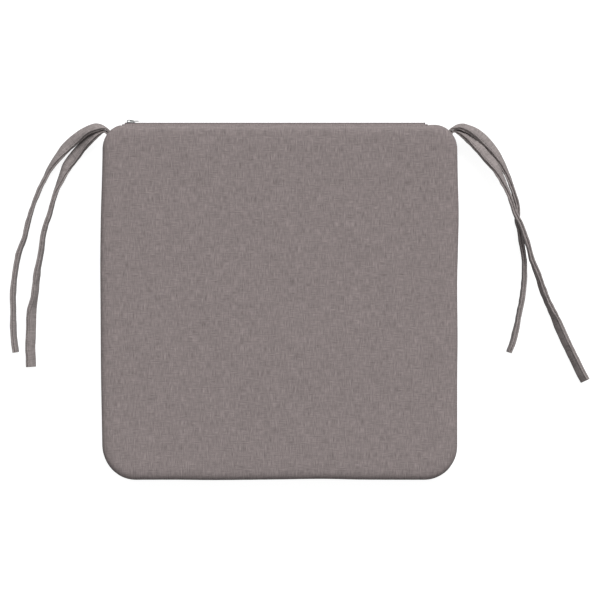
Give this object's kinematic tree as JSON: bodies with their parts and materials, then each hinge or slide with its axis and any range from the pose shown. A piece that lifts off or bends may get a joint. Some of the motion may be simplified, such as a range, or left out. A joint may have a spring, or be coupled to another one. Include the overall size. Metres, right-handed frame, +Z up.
{
  "type": "chair seat pad",
  "caption": "Thin square foam seat pad in a woven cloth cover with a zip along its back edge and tape ties at the back corners.",
  "frame": {"origin": "middle of the underside, on the seat that the pad lies on", "axes": "+Z up, away from the seat; +Y towards the back edge, which holds the zip and the ties; +X to the right of someone who stands in front of the chair and faces its back"},
  "size_m": [0.5852, 0.3626, 0.028],
  "materials": {
    "cover_cloth": "matte",
    "tie_cloth": "matte",
    "foam": "matte",
    "zip_tape": "matte",
    "zip_coil": "satin",
    "slider_metal": "satin",
    "thread": "matte"
  },
  "bodies": {
    "pad": {"foam_core": "foam", "cover_top": "cover_cloth", "cover_bottom": "cover_cloth", "zip_tape_upper": "zip_tape", "zip_tape_lower": "zip_tape", "zip_coil_upper": "zip_coil", "zip_coil_lower": "zip_coil", "zip_tack_left": "thread", "zip_tack_right": "thread", "tie_left_outer": "tie_cloth", "tie_left_inner": "tie_cloth", "tie_right_outer": "tie_cloth", "tie_right_inner": "tie_cloth"},
    "slider": {"zip_slider": "slider_metal"},
    "pull": {"zip_pull": "slider_metal"}
  },
  "joints": [
    {"name": "zip_slide", "type": "slide", "parent": "pad", "child": "slider", "axis": [1, 0, 0], "range_m": [0, 0.288]},
    {"name": "pull_swing", "type": "hinge", "parent": "slider", "child": "pull", "pos_m": [-0.1504, 0.18268, 0.014], "axis": [0, 0, 1], "range_deg": [0, 180]}
  ]
}
